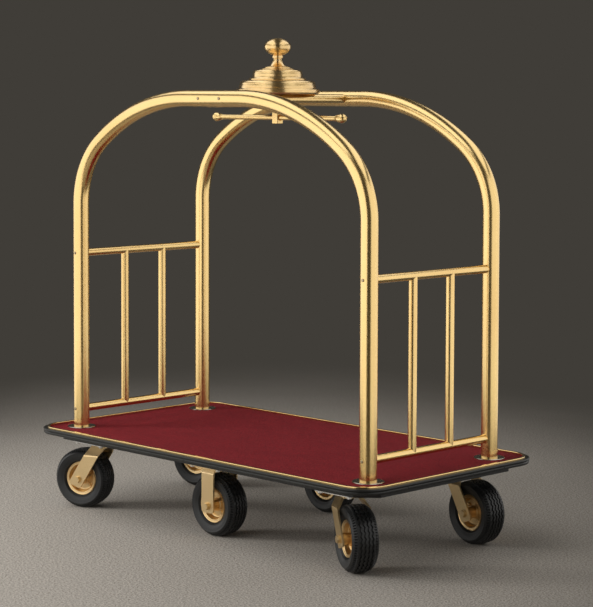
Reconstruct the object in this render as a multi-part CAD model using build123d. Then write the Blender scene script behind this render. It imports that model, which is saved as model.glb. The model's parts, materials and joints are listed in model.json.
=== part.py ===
"""Hotel luggage cart: carpeted deck on six casters, two brass arches, end rails, crown and hanger.

Millimetres, +Z up. The origin is on the floor under the middle of the deck, +X runs along the deck
and +Y across it. Every piece of the cart is one node, written to parts/NODE.step.
"""

import math
import os

from build123d import *

# ---- driving dimensions ---------------------------------------------------------------------
DECK_L, DECK_W = 1445.6, 742.2  # plywood deck board
DECK_R = 78.5  # its corner radius
BOARD_T, CARPET_T = 12.0, 6.0
DECK_TOP = 256.0  # carpet face above the floor
BOARD_TOP = DECK_TOP - CARPET_T
BOARD_BOTTOM = BOARD_TOP - BOARD_T
FRAME_T = 16.0  # plywood doubler ring under the board
FRAME_X, FRAME_Y, FRAME_CUT = 698.0, 332.0, 55.0  # its half sizes and corner cut
FRAME_IN_X, FRAME_IN_Y = 456.0, 160.0  # half sizes of its opening
FRAME_BOTTOM = BOARD_BOTTOM - FRAME_T

TRIM_T, TRIM_LIP, TRIM_TOP = 3.0, 6.0, DECK_TOP + 6.5  # brass edge strip
BUMPER_T, BUMPER_H = 12.0, 18.0  # rubber bumper
BUMPER_TOP = DECK_TOP + 2.2
TRIM_LOW = BUMPER_TOP - BUMPER_H + 0.3

POST_X, POST_Y = 635.0, 262.7  # post axes
TUBE_D, TUBE_T = 50.8, 1.8
ARCH_Z = 1318.5  # axis of the flat top of the arches
BEND_A, BEND_B = 516.0, 339.0  # reach and rise of one basket-handle bend
BEND_R1 = 250.0  # its tight arc, next to the post

RAIL_D, RAIL_T = 25.4, 1.5
RAIL_UP_Z, RAIL_LOW_Z = DECK_TOP + 564.0, DECK_TOP + 59.6
BALUSTER_Y = 80.5
FLANGE_D, FLANGE_T = 92.0, 3.2

CROSS_W, CROSS_H = 120.0, 28.0  # flat oval tube between the arches
CROSS_SCREW_X = 46.0
HEAD_SEAT = TUBE_D / 2 - 1.0  # spot face of the screws, from the tube axis
HANGER_W, HANGER_Z = 24.0, 1241.5  # square hanger post and its lower end
BAR_D, BAR_HALF, BAR_Z = 15.9, 250.0, 1260.0
KNOB_D, KNOB_L = 27.0, 42.0

TYRE_D, TYRE_W = 190.0, 78.0
RIM_R, RIM_W = 52.0, 54.0
AXLE_Z = TYRE_D / 2
AXLE_D, HUB_R = 12.0, 17.0
LEG_IN, LEG_T, LEG_W = 45.0, 5.0, 52.0  # fork leg: inner face, thickness and width
FOOT = 21.0  # leg below the axle
TRAIL = 68.0  # axle behind the swivel axis
CASTER_X, CASTER_Y = 545.0, 245.0
MID_Y = 240.0
PLATE_L, PLATE_W, PLATE_T = 144.0, 146.0, 6.5
BOLT_INSET = 15.0
PLATE_Z = FRAME_BOTTOM - PLATE_T  # underside of the caster plates
CROWN_TOP, CROWN_T = 206.0, 6.0  # fork crown
SWIVEL_HALF, SWIVEL_BEND = 29.0, 174.0  # half width of a swivel fork's crown, height of its shoulder bends
RIGID_HALF, RIGID_BEND = 45.0, 194.0  # the same for the middle forks, which are nearly straight
CLEAR = 0.3
RUN = 0.06  # radial running clearance

# corner casters: name, x side, y side, heading of the wheel from the swivel axis in degrees
SWIVELS = (
    ("fl", -1, -1, 201.0),
    ("fr", 1, -1, -28.0),
    ("rl", -1, 1, 192.0),
    ("rr", 1, 1, -9.0),
)
MIDS = (("mf", -1), ("mr", 1))


# ---- helpers --------------------------------------------------------------------------------
def rod(r, h, x=0.0, y=0.0, z=0.0, axis="Z"):
    """A cylinder of radius r that starts at (x, y, z) and runs h along an axis."""
    turn = {"X": (0, 90, 0), "Y": (-90, 0, 0), "Z": (0, 0, 0)}[axis]
    return Location((x, y, z), turn) * Cylinder(r, h, align=(Align.CENTER, Align.CENTER, Align.MIN))


def block(lx, ly, lz, x=0.0, y=0.0, z=0.0):
    """A box centred on (x, y) with its underside at z."""
    return Location((x, y, z)) * Box(lx, ly, lz, align=(Align.CENTER, Align.CENTER, Align.MIN))


def slab(lx, ly, r, z0, z1):
    """A rounded plate between two heights."""
    return Location((0, 0, z0)) * extrude(RectangleRounded(lx, ly, r), z1 - z0)


def spun(points):
    """A solid turned about Z from (radius, height) points and arcs.

    A point is (r, z). Three values (r, z, bulge) make the run up to that point an arc, whose
    middle stands out to the right of the run by bulge times its length.
    """
    edges = []
    for (r0, z0, *_), (r1, z1, *bulge) in zip(points, points[1:] + points[:1]):
        if bulge:
            k = bulge[0]
            mid = ((r0 + r1) / 2 + k * (z1 - z0), (z0 + z1) / 2 - k * (r1 - r0))
            edges.append(ThreePointArc((r0, 0, z0), (mid[0], 0, mid[1]), (r1, 0, z1)))
        else:
            edges.append(Line((r0, 0, z0), (r1, 0, z1)))
    return revolve(make_face(Wire(edges)), Axis.Z)


def hexagon(across, h, x=0.0, y=0.0, z=0.0, axis="Z"):
    """A hexagonal prism measured across its flats."""
    turn = {"X": (0, 90, 0), "Y": (-90, 0, 0), "Z": (0, 0, 0)}[axis]
    face = RegularPolygon(across / 2, 6, major_radius=False)
    return Location((x, y, z), turn) * extrude(face, h)


def group(solids):
    """Identical pieces that share one node."""
    solids = list(solids)
    return Compound(children=solids) if len(solids) > 1 else solids[0]


def write(name, shape):
    shape.label = name
    export_step(shape, os.path.join("parts", name + ".step"))


SIDES = [(sx, sy) for sx in (-1, 1) for sy in (-1, 1)]


# ---- deck -----------------------------------------------------------------------------------
def screw_spots():
    """Bumper screws: (x, y, outward direction) round the straight sides."""
    spots = []
    face_x, face_y = DECK_L / 2 + TRIM_T + BUMPER_T, DECK_W / 2 + TRIM_T + BUMPER_T
    for side in (-1, 1):
        for i in range(-4, 5):
            spots.append((i * 150.0, side * face_y, 0, side))
        for i in (-1.5, -0.5, 0.5, 1.5):
            spots.append((side * face_x, i * 140.0, side, 0))
    return spots


SCREW_Z = BUMPER_TOP - 13.2  # in the lower roll of the bumper


def radial(r, length, x, y, dx, dy, z, start):
    """A pin along the outward direction, which starts `start` inside the point (x, y)."""
    if dx:
        turn = (0, 90 * dx, 0)
    else:
        turn = (-90 * dy, 0, 0)
    place = Location((x - dx * start, y - dy * start, z), turn)
    return place * Cylinder(r, length, align=(Align.CENTER, Align.CENTER, Align.MIN))


def deck_board():
    board = slab(DECK_L, DECK_W, DECK_R, BOARD_BOTTOM, BOARD_TOP)
    for sx, sy in SIDES:
        board -= rod(6.6, BOARD_T + 2, sx * POST_X, sy * POST_Y, BOARD_BOTTOM - 1)
    for x, y in caster_bolt_spots():
        board -= rod(4.3, 11.0, x, y, BOARD_BOTTOM - 1)
    for x, y, dx, dy in screw_spots():
        board -= radial(2.2, 40.0, x, y, dx, dy, SCREW_Z, 38.0)
    return board


def carpet():
    gap = 2 * 0.5
    sheet = slab(DECK_L - gap, DECK_W - gap, DECK_R - gap / 2, BOARD_TOP, DECK_TOP)
    for sx, sy in SIDES:
        sheet -= rod(TUBE_D / 2 + CLEAR, CARPET_T + 2, sx * POST_X, sy * POST_Y, BOARD_TOP - 1)
    return sheet


def edge_trim():
    """Brass angle round the deck edge, with a raised lip over the carpet."""
    inner, outer = 0.1, TRIM_T
    strip = slab(DECK_L + 2 * outer, DECK_W + 2 * outer, DECK_R + outer, TRIM_LOW, TRIM_TOP)
    strip -= slab(DECK_L + 2 * inner, DECK_W + 2 * inner, DECK_R + inner, TRIM_LOW - 1, DECK_TOP + 0.1)
    lip = TRIM_LIP
    strip -= slab(DECK_L - 2 * lip, DECK_W - 2 * lip, DECK_R - lip, TRIM_LOW - 1, TRIM_TOP + 1)
    rim = strip.edges().group_by(Axis.Z)[-1]
    strip = fillet(rim, 1.9)
    for x, y, dx, dy in screw_spots():
        strip -= radial(2.3, 30.0, x, y, dx, dy, SCREW_Z, 25.0)
    return strip


def band(out, z0, z1, r):
    """A plate that stands out past the deck edge, rounded on its upper and lower rims."""
    body = slab(DECK_L + 2 * out, DECK_W + 2 * out, DECK_R + out, z0, z1)
    rims = body.edges().group_by(Axis.Z)
    return fillet(rims[0] + rims[-1], r)


def bumper():
    """Rubber section bent round the whole deck: an upper roll that stands out, and a lower one."""
    low, top = BUMPER_TOP - BUMPER_H, BUMPER_TOP
    out = TRIM_T + BUMPER_T
    body = band(out, top - 8.4, top, 3.9) + band(out - 1.4, low, top - 7.4, 4.4)
    body += slab(DECK_L + 2 * out - 9, DECK_W + 2 * out - 9, DECK_R + out - 4.5, low + 3, top - 3)
    inset = TRIM_T + 0.1
    body -= slab(DECK_L + 2 * inset, DECK_W + 2 * inset, DECK_R + inset, low - 1, top + 1)
    for x, y, dx, dy in screw_spots():
        body -= radial(2.3, 30.0, x, y, dx, dy, SCREW_Z, 25.0)
        body -= radial(3.3, 12.0, x, y, dx, dy, SCREW_Z, 3.9)
    return body


def bumper_screws():
    screws = []
    for x, y, dx, dy in screw_spots():
        head = radial(3.0, 1.8, x, y, dx, dy, SCREW_Z, 3.8)
        screws.append(head + radial(2.0, 31.0, x, y, dx, dy, SCREW_Z, 34.0))
    return group(screws)


def underframe():
    """Painted plywood ring that doubles the board, with cut corners and two cross ties."""

    def eight(dx, dy, c):
        pts = [(dx - c, -dy), (dx, -dy + c), (dx, dy - c), (dx - c, dy)]
        pts += [(-x, -y) for x, y in pts]
        return make_face(Polyline(*pts, close=True))

    ring = Location((0, 0, FRAME_BOTTOM)) * extrude(eight(FRAME_X, FRAME_Y, FRAME_CUT), FRAME_T)
    ring -= slab(2 * FRAME_IN_X, 2 * FRAME_IN_Y, 20.0, FRAME_BOTTOM - 1, BOARD_BOTTOM + 1)
    for x in (-285.0, 285.0):
        ring += block(50.0, 2 * FRAME_IN_Y + 2.0, FRAME_T, x, 0.0, FRAME_BOTTOM)
    for sx, sy in SIDES:
        ring -= rod(15.0, 20.0, sx * POST_X, sy * POST_Y, FRAME_BOTTOM - 4)
    for x, y in caster_bolt_spots():
        ring -= rod(4.3, 20.0, x, y, FRAME_BOTTOM - 4)
    return ring


# ---- arches and rails -----------------------------------------------------------------------
def arch_path():
    """Post, basket-handle bend, flat top, bend and post, as one wire in the XZ plane."""
    a, b, r1 = BEND_A, BEND_B, BEND_R1
    r2 = (a * a - 2 * a * r1 + b * b) / (2 * (b - r1))
    x_in, z_in = POST_X - a, ARCH_Z - b
    c1 = (POST_X - r1, z_in)
    c2 = (x_in, ARCH_Z - r2)
    span = r2 - r1
    ux, uz = (c1[0] - c2[0]) / span, (c1[1] - c2[1]) / span
    join = (c2[0] + r2 * ux, c2[1] + r2 * uz)

    def between(c, r, t):
        return (c[0] + r * math.cos(t), 0, c[1] + r * math.sin(t))

    t_join = math.atan2(uz, ux)
    right = [
        Line((POST_X, 0, BOARD_TOP), (POST_X, 0, z_in)),
        ThreePointArc((POST_X, 0, z_in), between(c1, r1, t_join / 2), (join[0], 0, join[1])),
        ThreePointArc(
            (join[0], 0, join[1]), between(c2, r2, (t_join + math.pi / 2) / 2), (x_in, 0, ARCH_Z)
        ),
    ]
    left = [edge.mirror(Plane.YZ) for edge in right]
    return Wire(right + [Line((x_in, 0, ARCH_Z), (-x_in, 0, ARCH_Z))] + left[::-1])


def screw_places():
    """Where the screws of the end rails and the cross member go through an arch: (x, z)."""
    rails = [(sx * POST_X, z) for sx in (-1, 1) for z in (RAIL_UP_Z, RAIL_LOW_Z)]
    return rails + [(-CROSS_SCREW_X, ARCH_Z), (CROSS_SCREW_X, ARCH_Z)]


def arch(side):
    """One tube from foot to foot, with a threaded plug welded in each foot."""
    path = Location((0, side * POST_Y, 0)) * arch_path()
    start = Plane(origin=(POST_X, side * POST_Y, BOARD_TOP), z_dir=(0, 0, 1))
    tube = sweep(start * Circle(TUBE_D / 2), path) - sweep(start * Circle(TUBE_D / 2 - TUBE_T), path)
    for sx in (-1, 1):
        tube += rod(TUBE_D / 2 - 0.5, 20.0, sx * POST_X, side * POST_Y, BOARD_TOP)
        tube -= rod(6.1, 30.0, sx * POST_X, side * POST_Y, BOARD_TOP - 5)
    for x, z in screw_places():
        tube -= radial(3.1, 70.0, x, side * POST_Y, 0, side, z, 35.0)
        tube -= radial(4.7, 10.0, x, side * POST_Y, 0, side, z, 0.1 - HEAD_SEAT)
    return tube


def post_flanges():
    """Round escutcheons on the carpet, one round each post."""
    bore, r = TUBE_D / 2 + 0.1, FLANGE_D / 2
    ring = spun([(bore, 0.0), (r, 0.0), (r, 1.2), (r - 5.0, FLANGE_T, 0.12), (bore, FLANGE_T)])
    return group(Location((sx * POST_X, sy * POST_Y, DECK_TOP)) * ring for sx, sy in SIDES)


def post_bolts():
    """Bolts up through the board into the plugs of the posts."""
    bolts = []
    for sx, sy in SIDES:
        x, y = sx * POST_X, sy * POST_Y
        bolt = rod(6.0, BOARD_T + 16.0, x, y, BOARD_BOTTOM)
        bolt += rod(12.0, 2.5, x, y, BOARD_BOTTOM - 2.5)
        bolt += hexagon(18.0, 7.5, x, y, BOARD_BOTTOM - 10.0)
        bolts.append(bolt)
    return group(bolts)


def rail(side, z):
    """One end rail, coped to the posts at both ends, with a tapped plug in each end."""
    x = side * POST_X
    length = 2 * POST_Y
    tube = rod(RAIL_D / 2, length, x, -POST_Y, z, "Y")
    tube -= rod(RAIL_D / 2 - RAIL_T, length + 2, x, -POST_Y - 1, z, "Y")
    for sy in (-1, 1):
        reach = TUBE_D / 2 + 14.0
        tube += rod(RAIL_D / 2 - 0.5, 24.0, x, sy * reach - 12.0, z, "Y")
    for sy in (-1, 1):
        tube -= rod(TUBE_D / 2 + 0.05, 80.0, x, sy * POST_Y, z - 40.0)
    inside = POST_Y - TUBE_D / 2
    for sy in (-1, 1):
        plug = rod(RAIL_D / 2 - 0.5, 22.0, x, sy * (inside - 11.0) - 11.0, z, "Y")
        plug -= rod(TUBE_D / 2 + 0.05, 80.0, x, sy * POST_Y, z - 40.0)
        tube += plug
        tube -= rod(3.1, 60.0, x, sy * (inside - 5.0) - 30.0, z, "Y")
    return tube


def baluster(side, y):
    """An upright between the two rails of an end, coped to both."""
    x = side * POST_X
    low, high = RAIL_LOW_Z, RAIL_UP_Z
    tube = rod(RAIL_D / 2, high - low, x, y, low)
    tube -= rod(RAIL_D / 2 - RAIL_T, high - low + 2, x, y, low - 1)
    for z in (low, high):
        tube -= rod(RAIL_D / 2 + 0.05, 60.0, x, y - 30.0, z, "Y")
    return tube


def side_screws(places):
    """Oval-head screws through both arch tubes from outside, into the rail or cross member."""
    screws = []
    length = 70.0
    for x, z in places:
        for side in (-1, 1):
            y = side * POST_Y
            head = radial(4.6, 3.4, x, y, 0, side, z, -HEAD_SEAT)
            head = fillet(head.edges().sort_by(Axis.Y)[0 if side < 0 else -1], 1.6)
            screws.append(head + radial(3.0, length, x, y, 0, side, z, length - TUBE_D / 2))
    return group(screws)


# ---- crown and hanger -----------------------------------------------------------------------
def cross_member():
    """Flat oval tube from arch to arch, coped to both, with tapped bosses for the screws."""
    inside = POST_Y - TUBE_D / 2
    section = Plane(origin=(0, -POST_Y, ARCH_Z), x_dir=(1, 0, 0), z_dir=(0, 1, 0))
    outer = extrude(section * SlotOverall(CROSS_W, CROSS_H), 2 * POST_Y)
    inner = extrude(section * SlotOverall(CROSS_W - 5.0, CROSS_H - 5.0), 2 * POST_Y)
    tube = outer - inner
    for side in (-1, 1):
        cap = outer & block(CROSS_W + 10, 26.0, CROSS_H + 10, 0, side * (inside - 13.0 + 10.0), ARCH_Z - 25.0)
        tube += cap
    for side in (-1, 1):
        tube -= rod(TUBE_D / 2 + 0.05, CROSS_W + 20, -CROSS_W / 2 - 10, side * POST_Y, ARCH_Z, "X")
        for x in (-CROSS_SCREW_X, CROSS_SCREW_X):
            tube -= rod(3.1, 90.0, x, side * (inside - 12.0) - 45.0, ARCH_Z, "Y")
    tube -= rod(6.2, CROSS_H + 4, 0, 0, ARCH_Z - CROSS_H / 2 - 2)
    return tube


CROWN_Z = ARCH_Z + CROSS_H / 2 + 0.05
CROWN_WALL = 2.0


def crown_dome():
    """Spun brass crown: rolled base, two stepped domes and a turned flare."""
    z = CROWN_Z
    outer = [
        (0.0, z),
        (123.0, z),
        (129.5, z + 5.0, 0.12),
        (129.0, z + 13.5),
        (124.0, z + 16.8, 0.15),
        (119.5, z + 17.2),
        (119.5, z + 19.4),
        (117.5, z + 30.0, 0.05),
        (106.0, z + 41.5, 0.2),
        (88.5, z + 43.2),
        (88.5, z + 44.0),
        (87.5, z + 48.0, 0.2),
        (84.5, z + 50.4),
        (79.0, z + 51.0),
        (78.0, z + 55.0),
        (76.5, z + 65.0, 0.05),
        (68.0, z + 74.0, 0.2),
        (51.5, z + 74.6),
        (50.5, z + 77.6, 0.2),
        (47.0, z + 79.4),
        (41.0, z + 80.0),
        (40.0, z + 82.8, 0.2),
        (36.5, z + 84.5),
        (28.5, z + 85.3),
        (13.2, z + 106.6, -0.09),
        (13.2, z + 107.5),
        (0.0, z + 107.5),
    ]
    hollow = spun(
        [
            (0.0, z - 1.0),
            (118.0, z - 1.0),
            (116.0, z + 27.0),
            (102.0, z + 38.0),
            (74.0, z + 45.0),
            (72.0, z + 63.0),
            (62.0, z + 70.0),
            (30.0, z + 73.0),
            (0.0, z + 75.0),
        ]
    )
    return spun(outer) - hollow - rod(6.2, 120.0, 0, 0, z - 5)


NECK_Z = CROWN_Z + 107.6


def crown_ball():
    """Collar and flattened ball, tapped from below for the crown stud."""
    z = NECK_Z
    c, rx, rz = z + 36.7, 42.5, 27.0
    cut = 15.5
    drop = rz * math.sqrt(1 - (cut / rx) ** 2)
    points = [(rx * math.cos(t), c + rz * math.sin(t)) for t in (math.radians(a) for a in range(-60, 91, 15))]
    points[-1] = (0.0, c + rz)
    turned = [(0, z), (13.2, z), (13.6, z + 1.6), (16.6, z + 3.2), (17.0, z + 8.6), (15.5, z + 10.4)]
    turned.append((cut, c - drop))
    body = [Line((r0, 0, z0), (r1, 0, z1)) for (r0, z0), (r1, z1) in zip(turned, turned[1:])]
    knots = [(cut, 0, c - drop)] + [(r, 0, h) for r, h in points]
    body.append(Spline(*knots, tangents=[(1.0, 0, -0.25), (-1.0, 0, 0)]))
    body.append(Line((0, 0, c + rz), (0, 0, z)))
    ball = revolve(make_face(Wire(body)), Axis.Z)
    return ball - rod(6.2, 26.0, 0, 0, z - 1)


def crown_stud():
    """Threaded rod that clamps the ball, crown, cross member and hanger post together."""
    low, high = HANGER_Z + 36.0, NECK_Z + 22.0
    return rod(6.0, high - low, 0, 0, low)


def hanger_post():
    """Square post under the cross member, cross-drilled for the bar and tapped for the stud."""
    top = ARCH_Z - CROSS_H / 2 - 0.05
    body = block(HANGER_W, HANGER_W, top - HANGER_Z, 0, 0, HANGER_Z)
    body = chamfer(body.edges().filter_by(Axis.Z), 1.2)
    body = chamfer(body.edges().group_by(Axis.Z)[0], 1.0)
    body -= rod(6.2, 40.0, 0, 0, HANGER_Z + 34.0)
    body -= rod(BAR_D / 2 + 0.05, 60.0, -30.0, 0, BAR_Z, "X")
    mouth = Cone(BAR_D / 2 + 0.05, BAR_D / 2 + 2.2, 2.4, align=(Align.CENTER, Align.CENTER, Align.MIN))
    body -= Location((HANGER_W / 2 - 2.3, 0, BAR_Z), (0, 90, 0)) * mouth
    body -= Location((-HANGER_W / 2 + 2.3, 0, BAR_Z), (0, -90, 0)) * mouth
    return body


def hanger_bar():
    """Solid garment bar, necked at both ends for the knobs."""
    bar = rod(BAR_D / 2, 2 * BAR_HALF, -BAR_HALF, 0, BAR_Z, "X")
    for side in (-1, 1):
        bar += rod(4.0, 20.0, side * (BAR_HALF + 8.0) - 10.0, 0, BAR_Z, "X")
    return bar


def bar_knob(side):
    """Acorn knob with a collar, screwed on the bar end."""
    r = KNOB_D / 2
    knob = spun(
        [
            (4.1, 0.0),
            (8.4, 0.0),
            (9.2, 1.5),
            (8.4, 3.0),
            (7.6, 3.8),
            (r, 21.0, 0.09),
            (7.5, KNOB_L - 3.0, 0.16),
            (3.5, KNOB_L - 0.7),
            (0.0, KNOB_L),
            (0.0, 21.0),
            (4.1, 21.0),
        ]
    )
    return Location((side * (BAR_HALF + 0.05), 0, BAR_Z), (0, 90 * side, 0)) * knob


# ---- casters --------------------------------------------------------------------------------
def caster_spots():
    corners = [(sx * CASTER_X, sy * CASTER_Y) for _, sx, sy, _ in SWIVELS]
    return corners + [(0.0, side * MID_Y) for _, side in MIDS]


def bolt_offsets():
    return [(sx * (PLATE_L / 2 - BOLT_INSET), sy * (PLATE_W / 2 - BOLT_INSET)) for sx, sy in SIDES]


def caster_bolt_spots():
    return [(x + dx, y + dy) for x, y in caster_spots() for dx, dy in bolt_offsets()]


def plate_blank():
    plate = slab(PLATE_L, PLATE_W, 12.0, PLATE_Z, FRAME_BOTTOM)
    for dx, dy in bolt_offsets():
        plate -= rod(4.3, 12.0, dx, dy, PLATE_Z - 3)
    return plate


def caster_plate():
    """Top plate with a pressed bearing race and the kingpin bore."""
    z = CROWN_TOP + CLEAR
    race = spun(
        [(6.5, z), (32.0, z), (36.0, z + 3.0, 0.2), (36.0, PLATE_Z + 0.5), (6.5, PLATE_Z + 0.5)]
    )
    return plate_blank() + race - rod(6.5, 40.0, 0, 0, PLATE_Z - 20)


def kingpins():
    """Kingpin bolts: head above the race, locknut under the fork crown."""
    pins = []
    for _, sx, sy, _ in SWIVELS:
        low = CROWN_TOP - CROWN_T
        pin = rod(6.44, FRAME_BOTTOM - 0.1 - low + 5.5, 0, 0, low - 5.5)
        pin += hexagon(18.0, 5.0, 0, 0, low - CLEAR - 5.0)
        pins.append(Location((sx * CASTER_X, sy * CASTER_Y, 0)) * pin)
    return group(pins)


def caster_bolts():
    """Bolt heads and washers under the plates, shanks up into the board."""
    bolts = []
    for x, y in caster_bolt_spots():
        bolt = rod(4.0, 33.0, x, y, PLATE_Z - 2)
        bolt += rod(8.0, 1.6, x, y, PLATE_Z - 1.7)
        bolt += hexagon(13.0, 5.0, x, y, PLATE_Z - 6.7)
        bolts.append(bolt)
    return group(bolts)


def fork_body(trail, crown, bend):
    """A strip bent over the wheel: crown, sloped shoulders and two raked legs with the axle bore."""
    out, inn, top = LEG_IN + LEG_T, LEG_IN, CROWN_TOP
    foot, half = AXLE_Z - FOOT, LEG_W / 2
    right = [(crown, top), (out, bend), (out, foot - 20), (inn, foot - 20)]
    right += [(inn, bend - 2.0), (crown - 4.5, top - CROWN_T)]
    left = [(-y, z) for y, z in right[::-1]]
    bent = make_face(Polyline(*[(0, y, z) for y, z in right + left], close=True))
    bends = [v for v in bent.vertices() if abs(v.Z - bend) < 3]
    bent = fillet(bends, 8.0)
    strip = extrude(bent, 150.0, dir=(1, 0, 0), both=True)

    rake = trail / (top - AXLE_Z)
    tilt = 0.5 * rake * half

    def at(z, dx):
        return (rake * (top - z) + dx, 0, z)

    outline = make_face(
        Polyline(
            at(top, -half), at(top, half), at(foot + tilt, half), at(foot - tilt, -half), close=True
        )
    )
    outline = fillet([v for v in outline.vertices() if v.Z < AXLE_Z], 10.0)
    fork = strip & extrude(outline, 100.0, dir=(0, 1, 0), both=True)
    fork += slab(LEG_W + 10.0, 2 * crown, 8.0, top - CROWN_T, top)
    return fork - rod(AXLE_D / 2 + 0.05, 2 * out + 20, trail, -out - 10, AXLE_Z, "Y")


def swivel_fork():
    fork = fork_body(TRAIL, SWIVEL_HALF, SWIVEL_BEND)
    collar = spun(
        [(6.5, CROWN_TOP - 0.5), (28.0, CROWN_TOP - 0.5), (28.0, CROWN_TOP), (6.5, CROWN_TOP)]
    )
    return fork + collar - rod(6.5, 40.0, 0, 0, CROWN_TOP - 20)


def rigid_fork():
    """Plate and fork in one pressing, with a folded riser between them."""
    top = CROWN_TOP
    fork = fork_body(0.0, RIGID_HALF, RIGID_BEND)
    riser = block(56.0, 2 * RIGID_HALF, PLATE_Z - top + 0.5, 0, 0, top - 0.5)
    riser -= block(60.0, 2 * RIGID_HALF - 12.0, PLATE_Z - top - 2, 0, 0, top + 0.5)
    return fork + riser + plate_blank()


def axle():
    """Axle bolt along Y: domed head on one side, washer and nut on the other."""
    out = LEG_IN + LEG_T
    bolt = rod(AXLE_D / 2, 2 * out + 16.0, 0, -out - 8.0, 0, "Y")
    for side in (-1, 1):
        bolt += rod(12.5, 2.0, 0, side * (out + 1.05) - 1.0, 0, "Y")
    bolt += hexagon(19.0, 8.0, 0, out + 2.0, 0, "Y")
    bolt += hexagon(19.0, 7.5, 0, -out - 9.5, 0, "Y")
    return bolt


def rim():
    """Two-piece bolted wheel: dished discs, bead flanges and a hub tube, turned about Z."""
    hub = LEG_IN - 0.6
    half = RIM_W / 2
    side = [
        (AXLE_D / 2 + RUN, 0.0),
        (AXLE_D / 2 + RUN, hub),
        (HUB_R, hub),
        (HUB_R, 14.0),
        (20.0, 10.0, -0.1),
        (36.0, 10.0),
        (40.0, 13.0, 0.1),
        (43.0, half - 3.0),
        (47.0, half + 0.4, -0.15),
        (RIM_R, half + 1.6, 0.1),
        (RIM_R + 1.5, half - 2.6, 0.5),
        (RIM_R - 6.0, half - 5.0),
        (RIM_R - 8.0, half - 12.0),
        (RIM_R - 8.0, 0.0),
    ]
    upper = spun(side)
    wheel = upper + mirror(upper, Plane.XY)
    for i in range(4):
        t = math.radians(45 + 90 * i)
        x, y = 29.0 * math.cos(t), 29.0 * math.sin(t)
        wheel += hexagon(10.0, 30.0, x, y, -15.0)
    return wheel


def tyre():
    """Pneumatic tyre with three tread grooves, turned about Z."""
    r, half = TYRE_D / 2, TYRE_W / 2
    seat, bead = RIM_R - 5.9, RIM_W / 2 - 5.1
    tread = 26.0
    profile = [
        (seat, -bead),
        (RIM_R + 1.6, -bead - 1.9),
        (RIM_R + 1.6, -RIM_W / 2 + 0.0),
        (r - 24.0, -half, 0.12),
        (r - 5.0, -tread - 2.0, 0.14),
        (r - 0.8, -tread + 4.0, 0.08),
    ]
    for z in (-12.0, 0.0, 12.0):
        rise = 0.0 if z == 0 else 0.5
        profile += [(r - rise, z - 1.8), (r - 4.0, z - 1.2), (r - 4.0, z + 1.2), (r - rise, z + 1.8)]
    profile += [
        (r - 0.8, tread - 4.0),
        (r - 5.0, tread + 2.0, 0.08),
        (r - 24.0, half, 0.14),
        (RIM_R + 1.6, RIM_W / 2, 0.12),
        (RIM_R + 1.6, bead + 1.9),
        (seat, bead),
    ]
    return spun(profile)


def wheel_place(x, y, heading):
    """Where a piece turned about Z goes, to spin about the caster's axle."""
    return Location((x, y, AXLE_Z), (0, 0, heading)) * Location((0, 0, 0), (-90, 0, 0))


def casters():
    blank_rim, blank_tyre, blank_axle = rim(), tyre(), axle()
    plate, fork, fixed = caster_plate(), swivel_fork(), rigid_fork()
    for name, sx, sy, heading in SWIVELS:
        x, y = sx * CASTER_X, sy * CASTER_Y
        t = math.radians(heading)
        wx, wy = x + TRAIL * math.cos(t), y + TRAIL * math.sin(t)
        write("caster_plate_" + name, Location((x, y, 0)) * plate)
        write("fork_" + name, Location((x, y, 0), (0, 0, heading)) * fork)
        write("axle_" + name, Location((wx, wy, AXLE_Z), (0, 0, heading)) * blank_axle)
        write("rim_" + name, wheel_place(wx, wy, heading) * blank_rim)
        write("tyre_" + name, wheel_place(wx, wy, heading) * blank_tyre)
    for name, side in MIDS:
        y = side * MID_Y
        write("fork_" + name, Location((0, y, 0)) * fixed)
        write("axle_" + name, Location((0, y, AXLE_Z)) * blank_axle)
        write("rim_" + name, wheel_place(0, y, 0) * blank_rim)
        write("tyre_" + name, wheel_place(0, y, 0) * blank_tyre)
    write("kingpins", kingpins())
    write("caster_bolts", caster_bolts())


def main():
    os.makedirs("parts", exist_ok=True)
    write("deck_board", deck_board())
    write("carpet", carpet())
    write("edge_trim", edge_trim())
    write("bumper", bumper())
    write("bumper_screws", bumper_screws())
    write("underframe", underframe())
    for name, side in (("front_arch", -1), ("rear_arch", 1)):
        write(name, arch(side))
    write("post_flanges", post_flanges())
    write("post_bolts", post_bolts())
    for end, side in (("left", -1), ("right", 1)):
        write(end + "_upper_rail", rail(side, RAIL_UP_Z))
        write(end + "_lower_rail", rail(side, RAIL_LOW_Z))
        write(end + "_front_baluster", baluster(side, -BALUSTER_Y))
        write(end + "_rear_baluster", baluster(side, BALUSTER_Y))
    write("rail_screws", side_screws(screw_places()[:4]))
    write("cross_member", cross_member())
    write("cross_screws", side_screws(screw_places()[4:]))
    write("crown_dome", crown_dome())
    write("crown_ball", crown_ball())
    write("crown_stud", crown_stud())
    write("hanger_post", hanger_post())
    write("hanger_bar", hanger_bar())
    write("bar_knob_left", bar_knob(-1))
    write("bar_knob_right", bar_knob(1))
    casters()


main()
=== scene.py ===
"""Looks of the hotel luggage cart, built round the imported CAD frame. Blender 4.5, metres, +Z up."""

import json
import math

import bmesh
import bpy
import numpy as np
from mathutils import Matrix, Vector


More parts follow.
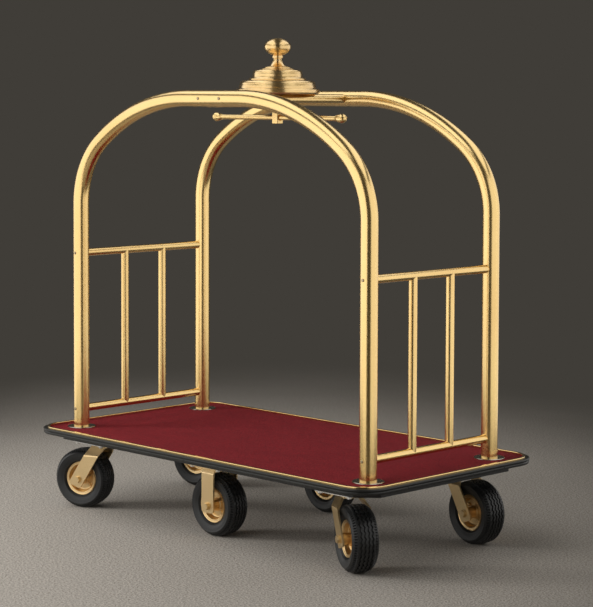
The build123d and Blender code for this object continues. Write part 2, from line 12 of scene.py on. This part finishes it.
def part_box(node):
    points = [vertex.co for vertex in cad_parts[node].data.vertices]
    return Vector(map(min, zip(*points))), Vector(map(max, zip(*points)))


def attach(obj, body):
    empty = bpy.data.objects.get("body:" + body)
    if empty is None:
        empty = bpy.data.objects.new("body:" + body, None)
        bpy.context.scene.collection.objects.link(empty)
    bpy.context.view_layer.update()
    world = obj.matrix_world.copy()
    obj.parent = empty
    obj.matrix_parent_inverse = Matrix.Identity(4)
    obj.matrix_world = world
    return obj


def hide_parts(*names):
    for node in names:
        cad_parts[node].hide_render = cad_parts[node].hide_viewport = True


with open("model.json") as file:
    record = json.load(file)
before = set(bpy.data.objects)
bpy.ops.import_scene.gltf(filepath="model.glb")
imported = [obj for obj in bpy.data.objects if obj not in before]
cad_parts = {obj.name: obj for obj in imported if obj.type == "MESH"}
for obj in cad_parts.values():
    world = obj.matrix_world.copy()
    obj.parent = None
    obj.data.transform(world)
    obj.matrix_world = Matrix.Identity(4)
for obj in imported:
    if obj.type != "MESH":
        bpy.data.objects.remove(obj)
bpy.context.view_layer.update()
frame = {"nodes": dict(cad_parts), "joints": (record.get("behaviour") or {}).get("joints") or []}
NODES = frame["nodes"]
JOINTS = {j["name"]: j for j in frame["joints"]}
CASTERS = ("fl", "fr", "rl", "rr", "mf", "mr")

POST_X = 0.635  # post axes from the middle of the deck
ARCH_TOP, ARCH_FOOT = 1.3185, 0.2502  # axis of the flat top, and the lower end of the posts
BEND_REACH, BEND_RISE, BEND_R = 0.516, 0.339, 0.25  # basket-handle bend and its tighter radius
DECK_CORNER_R = 0.078  # corner radius of the carpet


# ---- small helpers --------------------------------------------------------------------------
def srgb(r, g, b):
    """A linear colour from sRGB values of 0 to 255."""
    out = []
    for c in (r, g, b):
        c /= 255.0
        out.append(c / 12.92 if c <= 0.04045 else ((c + 0.055) / 1.055) ** 2.4)
    return (*out, 1.0)


class Shader:
    """A material's node tree, with short calls for the nodes used here."""

    def __init__(self, name, **sockets):
        self.mat = bpy.data.materials.new(name)
        self.mat.use_nodes = True
        self.tree = self.mat.node_tree
        self.bsdf = self.tree.nodes["Principled BSDF"]
        self.coords = self.add("ShaderNodeTexCoord").outputs["Object"]
        for socket, value in sockets.items():
            self.bsdf.inputs[socket.replace("_", " ")].default_value = value

    def add(self, kind, **values):
        node = self.tree.nodes.new(kind)
        for key, value in values.items():
            setattr(node, key, value)
        return node

    def link(self, a, b):
        self.tree.links.new(a, b)

    def stretch(self, sx, sy, sz):
        node = self.add("ShaderNodeMapping")
        node.inputs["Scale"].default_value = (sx, sy, sz)
        self.link(self.coords, node.inputs["Vector"])
        return node.outputs["Vector"]

    def noise(self, scale, detail=4.0, rough=0.5, vector=None):
        node = self.add("ShaderNodeTexNoise")
        node.inputs["Scale"].default_value = scale
        node.inputs["Detail"].default_value = detail
        node.inputs["Roughness"].default_value = rough
        self.link(vector or self.coords, node.inputs["Vector"])
        return node.outputs["Fac"]

    def remap(self, value, lo, hi, out_lo, out_hi):
        node = self.add("ShaderNodeMapRange")
        for socket, v in zip(("From Min", "From Max", "To Min", "To Max"), (lo, hi, out_lo, out_hi)):
            node.inputs[socket].default_value = v
        self.link(value, node.inputs["Value"])
        return node.outputs["Result"]

    def math(self, operation, a, b):
        node = self.add("ShaderNodeMath", operation=operation)
        for socket, v in zip(node.inputs, (a, b)):
            if isinstance(v, (int, float)):
                socket.default_value = v
            else:
                self.link(v, socket)
        return node.outputs[0]

    def mix(self, fac, a, b):
        node = self.add("ShaderNodeMix", data_type="RGBA")
        self.link(fac, node.inputs["Factor"])
        for socket, v in (("A", a), ("B", b)):
            target = [i for i in node.inputs if i.name == socket and i.type == "RGBA"][0]
            if isinstance(v, tuple):
                target.default_value = v
            else:
                self.link(v, target)
        return [o for o in node.outputs if o.type == "RGBA"][0]

    def bump(self, height, strength, distance):
        node = self.add("ShaderNodeBump")
        node.inputs["Strength"].default_value = strength
        node.inputs["Distance"].default_value = distance
        self.link(height, node.inputs["Height"])
        self.link(node.outputs["Normal"], self.bsdf.inputs["Normal"])

    def colour(self, value):
        self.link(value, self.bsdf.inputs["Base Color"])

    def rough(self, value):
        self.link(value, self.bsdf.inputs["Roughness"])

    def lacquer(self):
        """A clear coat over metal, which pales the highlights."""
        self.bsdf.inputs["Coat Weight"].default_value = 1.0
        self.bsdf.inputs["Coat IOR"].default_value = 1.7
        self.bsdf.inputs["Coat Roughness"].default_value = 0.2


# ---- materials ------------------------------------------------------------------------------
def brass(name, base, tarnish, rough, brush=(1.0, 1.0, 1.0)):
    """Lacquered satin brass: fine brushing along one direction, faint clouds in the lacquer."""
    s = Shader(name, Metallic=1.0)
    s.bsdf.inputs["Specular Tint"].default_value = (1.0, 0.94, 0.82, 1.0)
    s.lacquer()
    clouds = s.noise(3.0, 2.0)
    grain = s.noise(1400.0, 2.0, 0.6, s.stretch(*brush))
    s.colour(s.mix(s.remap(clouds, 0.35, 0.75, 0.0, 1.0), base, tarnish))
    s.rough(s.math("ADD", s.remap(grain, 0.3, 0.7, rough - 0.03, rough + 0.03),
                   s.remap(clouds, 0.3, 0.8, -0.01, 0.02)))
    return s.mat


def spun_brass(name, base, tarnish):
    """Brass turned on a lathe about the vertical axis: rings that follow height and radius."""
    s = Shader(name, Metallic=1.0)
    s.lacquer()
    rings = s.noise(700.0, 3.0, 0.6, s.stretch(0.05, 0.05, 3.0))
    clouds = s.noise(8.0, 2.0)
    s.colour(s.mix(s.remap(clouds, 0.35, 0.75, 0.0, 1.0), base, tarnish))
    s.rough(s.remap(rings, 0.3, 0.7, 0.24, 0.32))
    round_z = s.add("ShaderNodeTangent", direction_type="RADIAL", axis="Z")
    s.link(round_z.outputs["Tangent"], s.bsdf.inputs["Tangent"])
    s.bsdf.inputs["Anisotropic"].default_value = 0.75
    s.bsdf.inputs["Anisotropic Rotation"].default_value = 0.25
    return s.mat


def painted(name, base, dark, rough, metallic=0.0, bump=0.05):
    """Paint or plating: faint clouds of a darker shade, with fine specks in the gloss."""
    s = Shader(name, Metallic=metallic)
    clouds = s.noise(9.0, 4.0)
    specks = s.noise(700.0, 3.0, 0.6)
    s.colour(s.mix(s.remap(clouds, 0.3, 0.75, 0.0, 1.0), base, dark))
    s.rough(s.remap(specks, 0.3, 0.7, rough - 0.07, rough + 0.07))
    s.bump(specks, bump, 0.0004)
    return s.mat


def rubber(name, base, dusty, rough, bump):
    """Black rubber with dusty patches and fine pores."""
    s = Shader(name)
    s.bsdf.inputs["Specular IOR Level"].default_value = 0.42
    dust = s.noise(22.0, 6.0, 0.65)
    pores = s.noise(1500.0, 3.0, 0.7)
    s.colour(s.mix(s.remap(dust, 0.45, 0.8, 0.0, 1.0), base, dusty))
    s.rough(s.remap(dust, 0.3, 0.75, rough - 0.06, rough + 0.1))
    s.bump(pores, bump, 0.0004)
    return s.mat


def carpet_pile():
    """Cut pile: tufts, slight streaks where it was brushed, and painted shade that darkens the gaps
    between the tufts.
    """
    s = Shader("carpet_burgundy", Roughness=0.95)
    s.bsdf.inputs["Sheen Weight"].default_value = 0.15
    s.bsdf.inputs["Sheen Roughness"].default_value = 0.45
    s.bsdf.inputs["Sheen Tint"].default_value = srgb(214, 120, 120)
    s.bsdf.inputs["Specular IOR Level"].default_value = 0.12
    tufts = s.add("ShaderNodeTexVoronoi", feature="F1")
    tufts.inputs["Scale"].default_value = 330.0
    s.link(s.coords, tufts.inputs["Vector"])
    fuzz = s.noise(1100.0, 3.0, 0.7)
    nap = s.noise(7.0, 4.0, 0.6, s.stretch(1.0, 2.2, 1.0))
    base = s.mix(s.remap(nap, 0.3, 0.7, 0.0, 1.0), srgb(174, 38, 50), srgb(150, 28, 41))
    # painted shade: the colour darkens towards a deep red in the gaps between tufts
    deep = s.mix(s.remap(tufts.outputs["Distance"], 0.15, 0.75, 0.0, 1.0), base, srgb(80, 9, 20))
    s.colour(s.mix(s.remap(fuzz, 0.35, 0.75, 0.0, 0.5), deep, srgb(150, 44, 52)))
    s.bump(s.math("SUBTRACT", fuzz, tufts.outputs["Distance"]), 0.7, 0.0015)
    return s.mat


def plywood():
    """Sealed plywood: grain along the deck, with plies that show at the edge."""
    s = Shader("plywood_sealed", Roughness=0.6)
    wave = s.noise(30.0, 5.0, 0.6, s.stretch(0.25, 3.0, 3.0))
    plies = s.add("ShaderNodeTexWave", wave_type="BANDS", bands_direction="Z")
    plies.inputs["Scale"].default_value = 60.0
    plies.inputs["Distortion"].default_value = 0.4
    s.link(s.coords, plies.inputs["Vector"])
    grain = s.mix(wave, srgb(142, 104, 66), srgb(104, 72, 42))
    s.colour(s.mix(s.remap(plies.outputs["Fac"], 0.4, 0.6, 0.0, 0.5), grain, srgb(84, 56, 34)))
    s.bump(wave, 0.2, 0.0005)
    return s.mat


def floor_look():
    """Pale studio floor: a painted pool of light round the cart, whose edge fades into a painted dark, a
    faint glow in the colour of the room.
    """
    s = Shader("studio_floor", Roughness=0.9)
    s.bsdf.inputs["Specular IOR Level"].default_value = 0.08
    speck = s.noise(170.0, 5.0, 0.8)
    blotch = s.noise(0.9, 3.0, 0.5)
    s.colour(s.mix(s.remap(speck, 0.36, 0.64, 0.0, 1.0), srgb(222, 215, 206), srgb(112, 107, 100)))
    s.bump(speck, 0.15, 0.002)

    def along(x, y):
        """How far a floor point lies along a level direction."""
        dot = s.add("ShaderNodeVectorMath", operation="DOT_PRODUCT")
        s.link(s.coords, dot.inputs[0])
        dot.inputs[1].default_value = (x, y, 0.0)
        return dot.outputs["Value"]

    # painted light: an oval round the cart, reaching further away from the camera, where the floor keeps
    # its lit colour
    near_reach, far_reach, side_reach = 2.3, 4.2, 2.1
    ahead = s.math("ADD", along(0.707, -0.707), -0.35)
    across = s.math("ADD", along(0.707, 0.707), 0.15)
    oval = s.add("ShaderNodeCombineXYZ")
    nearer, further = s.math("DIVIDE", ahead, near_reach), s.math("DIVIDE", ahead, -far_reach)
    s.link(s.math("MAXIMUM", nearer, further), oval.inputs["X"])
    s.link(s.math("DIVIDE", across, side_reach), oval.inputs["Y"])
    far = s.add("ShaderNodeVectorMath", operation="LENGTH")
    s.link(oval.outputs["Vector"], far.inputs[0])
    painted_light_fade = s.add("ShaderNodeMapRange", interpolation_type="SMOOTHSTEP")
    painted_light_fade.inputs["From Min"].default_value = 0.35
    painted_light_fade.inputs["From Max"].default_value = 1.0
    ragged = s.remap(blotch, 0.3, 0.7, -0.03, 0.03)
    s.link(s.math("ADD", far.outputs["Value"], ragged), painted_light_fade.inputs["Value"])
    # painted shade: beyond the oval the floor glows faintly in the dark of the room instead of taking
    # light
    dark = s.add("ShaderNodeEmission")
    dark.inputs["Color"].default_value = ROOM
    blend = s.add("ShaderNodeMixShader")
    s.link(painted_light_fade.outputs["Result"], blend.inputs["Fac"])
    s.link(s.bsdf.outputs["BSDF"], blend.inputs[1])
    s.link(dark.outputs["Emission"], blend.inputs[2])
    out = [n for n in s.tree.nodes if n.type == "OUTPUT_MATERIAL"][0]
    s.link(blend.outputs["Shader"], out.inputs["Surface"])
    return s.mat


# ROOM is also the painted dark that the floor's painted light fades into
ROOM = srgb(64, 61, 56)  # the dark of the room, behind the cart and where the floor fades
GOLD, AMBER = (0.90, 0.63, 0.23, 1.0), (0.84, 0.55, 0.18, 1.0)
LOOKS = {
    "tube_upright": brass("satin_brass_upright", GOLD, AMBER, 0.24, (1.0, 1.0, 0.03)),
    "tube_across": brass("satin_brass_across", GOLD, AMBER, 0.24, (1.0, 0.03, 1.0)),
    "cross": brass("satin_brass_cross", GOLD, AMBER, 0.26, (1.0, 0.03, 1.0)),
    "bar": brass("satin_brass_bar", GOLD, AMBER, 0.24, (0.03, 1.0, 1.0)),
    "spun": spun_brass("spun_brass", (0.88, 0.61, 0.25, 1.0), (0.80, 0.53, 0.19, 1.0)),
    "trim": brass("polished_brass_trim", (0.88, 0.60, 0.24, 1.0), AMBER, 0.16),
    "plated": painted("yellow_plated_steel", (0.90, 0.69, 0.39, 1.0), (0.84, 0.62, 0.32, 1.0), 0.34, 1.0),
    "rim": painted("gold_rim_paint", (0.86, 0.63, 0.33, 1.0), (0.77, 0.54, 0.26, 1.0), 0.34, 1.0),
    "zinc": painted("zinc_steel", (0.80, 0.79, 0.76, 1.0), (0.68, 0.67, 0.63, 1.0), 0.28, 1.0),
    "nickel": painted(
        "polished_nickel", (0.50, 0.45, 0.37, 1.0), (0.42, 0.37, 0.30, 1.0), 0.22, 1.0, bump=0.02
    ),
    "screw": painted("screw_metal", (0.50, 0.40, 0.24, 1.0), (0.38, 0.30, 0.18, 1.0), 0.35, 1.0),
    "black": painted("black_steel_paint", srgb(26, 26, 25), srgb(18, 18, 17), 0.5),
    "bumper": rubber("bumper_rubber", srgb(28, 29, 27), srgb(40, 41, 38), 0.40, 0.05),
    "tyre": rubber("tyre_rubber", srgb(33, 34, 35), srgb(46, 47, 47), 0.42, 0.08),
    "carpet": carpet_pile(),
    "plywood": plywood(),
}


def look_of(node):
    """Which look a CAD node gets."""
    for start, look in (
        ("front_arch", "tube_upright"), ("rear_arch", "tube_upright"), ("post_flanges", "nickel"),
        ("left_upper", "tube_across"), ("right_upper", "tube_across"),
        ("left_lower", "tube_across"), ("right_lower", "tube_across"),
        ("left_", "tube_upright"), ("right_", "tube_upright"), ("cross_member", "cross"),
        ("crown_dome", "spun"), ("crown_ball", "spun"), ("hanger_post", "tube_upright"),
        ("hanger_bar", "bar"), ("bar_knob", "bar"), ("edge_trim", "trim"), ("bumper_screws", "black"),
        ("bumper", "bumper"), ("underframe", "black"), ("deck_board", "plywood"), ("carpet", "carpet"),
        ("fork", "plated"), ("caster_plate", "zinc"), ("axle", "plated"), ("caster_bolts", "zinc"),
        ("kingpins", "zinc"), ("post_bolts", "zinc"), ("crown_stud", "zinc"),
        ("rail_screws", "screw"), ("cross_screws", "screw"), ("rim", "rim"), ("tyre", "tyre"),
    ):
        if node.startswith(start):
            return look
    raise ValueError(node)


for node, obj in NODES.items():
    obj.data.materials.clear()
    obj.data.materials.append(LOOKS[look_of(node)])


# ---- meshes that stand for CAD nodes --------------------------------------------------------
def grid_object(name, points, closed_u, closed_v, look, sharp=None):
    """An object from a grid of points, indexed [u][v], joined round u and v where closed."""
    nu, nv = points.shape[:2]
    u = np.arange(nu if closed_u else nu - 1)
    v = np.arange(nv if closed_v else nv - 1)
    uu, vv = np.meshgrid(u, v, indexing="ij")
    u1, v1 = (uu + 1) % nu, (vv + 1) % nv
    faces = np.stack([uu * nv + vv, u1 * nv + vv, u1 * nv + v1, uu * nv + v1], axis=-1).reshape(-1, 4)
    mesh = bpy.data.meshes.new(name)
    mesh.from_pydata(points.reshape(-1, 3).tolist(), [], faces.tolist())
    mesh.polygons.foreach_set("use_smooth", [True] * len(mesh.polygons))
    if sharp:
        mesh.set_sharp_from_angle(angle=math.radians(sharp))
    mesh.materials.append(LOOKS[look])
    return link_object(name, mesh)


def link_object(name, mesh):
    obj = bpy.data.objects.new(name, mesh)
    bpy.context.scene.collection.objects.link(obj)
    return obj


def saw(t):
    """A triangle wave between -1 and 1 with period 1."""
    return 4.0 * np.abs((t % 1.0) - 0.5) - 1.0


def tyre_profile():
    """Half section of the tyre from the middle of its seat to the tread edge, as (radius, y).

    Seat, bead, rim guard, two raised rings on the sidewall and the rounded shoulder, in millimetres here.
    """
    return np.array([
        (46.3, 0.0), (46.3, 14.0), (47.5, 22.4), (53.7, 24.0), (54.1, 27.1), (56.2, 29.6), (58.6, 31.6),
        (59.4, 33.0), (60.6, 33.1), (61.6, 33.4), (65.5, 35.4), (70.0, 37.1), (74.5, 38.1), (78.5, 38.3),
        (79.4, 38.9), (80.8, 38.8), (81.6, 37.7), (84.2, 36.2), (86.4, 34.2), (88.4, 32.0), (90.0, 29.6),
        (91.5, 27.6), (92.9, 25.4),
    ]) / 1000.0


def tyre_mesh():
    """A pneumatic tyre about the Y axis: wavy grooves, shoulder lugs and rings on the sidewalls."""
    turns, lugs, waves = 360, 72, 36
    tread_r, tread_half, tread_drop = 95.0, 25.4, 2.1  # millimetres
    groove_section = ((-2.6, 0.0), (-2.2, 0.6), (-1.8, 4.5), (1.8, 4.5), (2.2, 0.6), (2.6, 0.0))
    grooves, rib_middles = (-17.0, -5.8, 5.8, 17.0), (-21.5, -11.4, 0.0, 11.4, 21.5)
    wave_half = 0.0022
    shoulder_y, shoulder_from, shoulder_to = 0.0305, 0.083, 0.0928
    shoulder_deep, shoulder_inset = 0.0042, 0.0022
    edge_y, edge_deep = 0.0254, 0.0024

    half = tyre_profile()
    rows = [(g + dy, deep) for g in grooves for dy, deep in groove_section]
    rows += [(y, 0.0) for y in rib_middles]
    rows.sort()
    crown = [(tread_r - tread_drop * (abs(y) / tread_half) ** 2.6 - deep, y) for y, deep in rows]
    tread = np.array(crown) / 1000.0
    far = half[:0:-1] * (1, -1)
    section = np.concatenate([half, tread[::-1], far])
    radius, across = section[:, 0], section[:, 1]
    on_tread = np.zeros(len(section))
    on_tread[len(half):len(half) + len(tread)] = 1.0

    t = np.arange(turns) / turns
    r = np.repeat(radius[None, :], turns, 0)
    y = np.repeat(across[None, :], turns, 0)
    y += wave_half * saw(t * waves)[:, None] * on_tread[None, :]
    notch = ((np.arange(turns) % (turns // lugs)) < 2).astype(float)[:, None]
    shoulder = np.exp(-(((np.abs(across) - shoulder_y) / 0.0034) ** 4))
    shoulder *= (radius > shoulder_from) & (radius <= shoulder_to)
    r -= shoulder_deep * notch * shoulder[None, :]
    y -= shoulder_inset * notch * shoulder[None, :] * np.sign(across)[None, :]
    edge = np.exp(-(((np.abs(across) - edge_y) / 0.0014) ** 4)) * on_tread
    r -= edge_deep * notch * edge[None, :]
    a = 2 * math.pi * t[:, None]
    return np.stack([r * np.cos(a), y, r * np.sin(a)], axis=-1)


def add_tyres():
    """Six tyres that share one mesh, each turned to its axle's heading."""
    first = grid_object("tyre_detail_fl", tyre_mesh(), True, True, "tyre", sharp=38)
    for name in CASTERS:
        obj = first if name == "fl" else link_object("tyre_detail_" + name, first.data)
        spin = JOINTS["wheel_" + name + "_spin"]
        x, y, _ = spin["axis"]
        heading = math.atan2(-x, y)
        obj.matrix_world = Matrix.Translation(spin["pos_m"]) @ Matrix.Rotation(heading, 4, "Z")
        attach(obj, "wheel_" + name)
        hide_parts("tyre_" + name)


def add_carpet():
    """Cut pile on the deck: rows of tufts, lower under the trim lip, with openings for the posts."""
    low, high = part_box("carpet")
    lx, ly = high.x - low.x, high.y - low.y
    pitch, pile_z, tuft_rise, tuft_shift = 0.0034, 0.2558, 0.00028, 0.0007
    trim_lip, post_hole_r = 0.009, 0.0262
    nx, ny = int(lx / pitch) + 1, int(ly / pitch) + 1
    xs, ys = np.linspace(low.x, high.x, nx), np.linspace(low.y, high.y, ny)
    gx, gy = np.meshgrid(xs, ys, indexing="ij")
    rng = np.random.default_rng(7)
    tuft = rng.normal(0.0, tuft_rise, gx.shape)
    nap = 0.00025 * np.sin(gx * 9.0 + 1.3 * np.sin(gy * 7.0)) + 0.0002 * np.sin(gy * 23.0 + gx * 4.0)
    gz = pile_z + tuft + nap
    gx[1:-1, 1:-1] += rng.uniform(-tuft_shift, tuft_shift, (nx - 2, ny - 2))
    gy[1:-1, 1:-1] += rng.uniform(-tuft_shift, tuft_shift, (nx - 2, ny - 2))
    edge = np.minimum(high.x - np.abs(gx), high.y - np.abs(gy))
    cx, cy = np.abs(gx) - (high.x - DECK_CORNER_R), np.abs(gy) - (high.y - DECK_CORNER_R)
    in_corner = (cx > 0) & (cy > 0)
    edge = np.where(in_corner, DECK_CORNER_R - np.hypot(cx, cy), edge)
    gz = np.where(edge < trim_lip, np.minimum(gz, pile_z), gz)
    keep = edge > -1e-6
    for arch in ("front_arch", "rear_arch"):
        arch_low, arch_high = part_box(arch)
        for px in (-POST_X, POST_X):
            keep &= np.hypot(gx - px, gy - (arch_low.y + arch_high.y) / 2) > post_hole_r
    cells = keep[:-1, :-1] & keep[1:, :-1] & keep[1:, 1:] & keep[:-1, 1:]
    index = np.arange(nx * ny).reshape(nx, ny)
    i, j = np.nonzero(cells)
    faces = np.stack([index[i, j], index[i + 1, j], index[i + 1, j + 1], index[i, j + 1]], axis=-1)
    used, back = np.unique(faces, return_inverse=True)
    points = np.stack([gx, gy, gz], axis=-1).reshape(-1, 3)[used]
    mesh = bpy.data.meshes.new("carpet_pile")
    mesh.from_pydata(points.tolist(), [], back.reshape(-1, 4).tolist())
    mesh.polygons.foreach_set("use_smooth", [True] * len(mesh.polygons))
    bm = bmesh.new()
    bm.from_mesh(mesh)
    rim = [e for e in bm.edges if e.is_boundary]
    skirt = bmesh.ops.extrude_edge_only(bm, edges=rim)["geom"]
    for v in skirt:
        if isinstance(v, bmesh.types.BMVert):
            v.co.z = low.z + 0.0001
    bmesh.ops.recalc_face_normals(bm, faces=bm.faces)
    bm.to_mesh(mesh)
    bm.free()
    mesh.materials.append(LOOKS["carpet"])
    obj = link_object("carpet_pile", mesh)
    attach(obj, "cart")
    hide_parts("carpet")


def arch_line():
    """Centre line of an arch in the XZ plane, foot to foot, with its tangents: (x, z, tx, tz)."""
    a, b, r1 = BEND_REACH, BEND_RISE, BEND_R
    r2 = (a * a - 2 * a * r1 + b * b) / (2 * (b - r1))
    c1, c2 = (POST_X - r1, ARCH_TOP - b), (POST_X - a, ARCH_TOP - r2)
    meet = math.atan2(c1[1] - c2[1], c1[0] - c2[0])
    half = [(POST_X, z, 0.0, 1.0) for z in np.linspace(ARCH_FOOT, c1[1], 14, endpoint=False)]
    for t in np.linspace(0.0, meet, 40, endpoint=False):
        half.append((c1[0] + r1 * math.cos(t), c1[1] + r1 * math.sin(t), -math.sin(t), math.cos(t)))
    for t in np.linspace(meet, math.pi / 2, 40):
        half.append((c2[0] + r2 * math.cos(t), c2[1] + r2 * math.sin(t), -math.sin(t), math.cos(t)))
    back = [(-x, z, tx, -tz) for x, z, tx, tz in half[::-1]]
    return np.array(half + back)


def add_arches():
    """Seamless bent tubes, so that highlights run along them without facets."""
    line = arch_line()
    sides = 96
    for name in ("front_arch", "rear_arch"):
        low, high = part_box(name)
        y0 = (low.y + high.y) / 2
        r = (high.y - low.y) / 2
        a = 2 * math.pi * np.arange(sides) / sides
        px, pz, tx, tz = (line[:, k][:, None] for k in range(4))
        xs = px + r * np.cos(a) * tz
        ys = y0 + r * np.sin(a) + 0 * px
        zs = pz - r * np.cos(a) * tx
        points = np.stack([xs, ys, zs], axis=-1)
        obj = grid_object(name + "_tube", points, False, True, "tube_upright")
        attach(obj, "cart")
        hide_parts(name)


add_tyres()
add_carpet()
add_arches()


# ---- stage, light and camera ----------------------------------------------------------------
def stage():
    """The studio floor, a wide disc."""
    mesh = bpy.data.meshes.new("studio_floor")
    bm = bmesh.new()
    bmesh.ops.create_circle(bm, cap_ends=True, radius=30.0, segments=128)
    bm.to_mesh(mesh)
    bm.free()
    floor = bpy.data.objects.new("studio_floor", mesh)
    bpy.context.scene.collection.objects.link(floor)
    mesh.materials.append(floor_look())


def panel(name, place, target, wide, high, watts, colour=(1.0, 1.0, 1.0)):
    """A soft box: a rectangular area light aimed at a point."""
    data = bpy.data.lights.new(name, "AREA")
    data.shape = "RECTANGLE"
    data.size, data.size_y, data.energy, data.color = wide, high, watts, colour
    lamp = bpy.data.objects.new(name, data)
    lamp.location = place
    lamp.rotation_euler = (Vector(target) - Vector(place)).to_track_quat("-Z", "Y").to_euler()
    lamp.visible_camera = False
    bpy.context.scene.collection.objects.link(lamp)
    return lamp


def camera():
    """A long lens at the height of the arch tops, looking at the corner of front and right end.

    It looks almost level, and the shift brings the cart down into the picture with upright posts.
    """
    data = bpy.data.cameras.new("camera")
    data.lens, data.sensor_width, data.shift_y = 116.56, 36.0, -0.1672
    cam = bpy.data.objects.new("camera", data)
    yaw, pitch, roll = math.radians(-45.185), math.radians(3.155), math.radians(0.191)
    ahead = Vector((math.sin(yaw) * math.cos(pitch), math.cos(yaw) * math.cos(pitch), -math.sin(pitch)))
    cam.location = (4.3357, -4.2241, 1.3337)
    turn = ahead.to_track_quat("-Z", "Y").to_matrix() @ Matrix.Rotation(roll, 3, "Z")
    cam.rotation_euler = turn.to_euler()
    bpy.context.scene.collection.objects.link(cam)
    bpy.context.scene.camera = cam


def around(azimuth, distance, height):
    """A place at an azimuth round the cart; 0 is in front of the long side, 90 off the right end."""
    a = math.radians(azimuth)
    return (distance * math.sin(a), -distance * math.cos(a), height)


def light():
    """Side panels and top boxes make the bands in the brass; a low key from the left lights the floor."""
    world = bpy.data.worlds.new("studio")
    bpy.context.scene.world = world
    world.use_nodes = True
    world.node_tree.nodes["Background"].inputs["Color"].default_value = ROOM
    world.node_tree.nodes["Background"].inputs["Strength"].default_value = 1.0
    warm = (1.0, 0.98, 0.95)
    floor_middle, cart_middle = (0.0, 0.0, 0.0), (0.0, 0.0, 1.17)
    for name, azimuth, watts in (
        ("softbox_left", 0.5, 21.0), ("softbox_far_left", -54.5, 21.0),
        ("softbox_right", 93.0, 16.0), ("softbox_far_right", 147.0, 16.0),
    ):
        side = panel(name, around(azimuth, 2.2, 1.17), cart_middle, 2.3, 2.28, watts, warm)
        side.visible_diffuse = name != "softbox_right"
    panel("softbox_top_left", around(-45, 1.85, 4.0), floor_middle, 5.6, 2.3, 54.0)
    top_right = panel("softbox_top_right", around(135, 1.85, 4.0), floor_middle, 5.6, 2.3, 46.0)
    top_right.visible_diffuse = False
    key = panel("low_key", around(-44, 5.6, 1.4), (0.0, 0.0, 0.2), 1.4, 0.8, 150.0, warm)
    key.visible_glossy = False


stage()
light()
camera()
bpy.context.scene.view_settings.view_transform = "Standard"
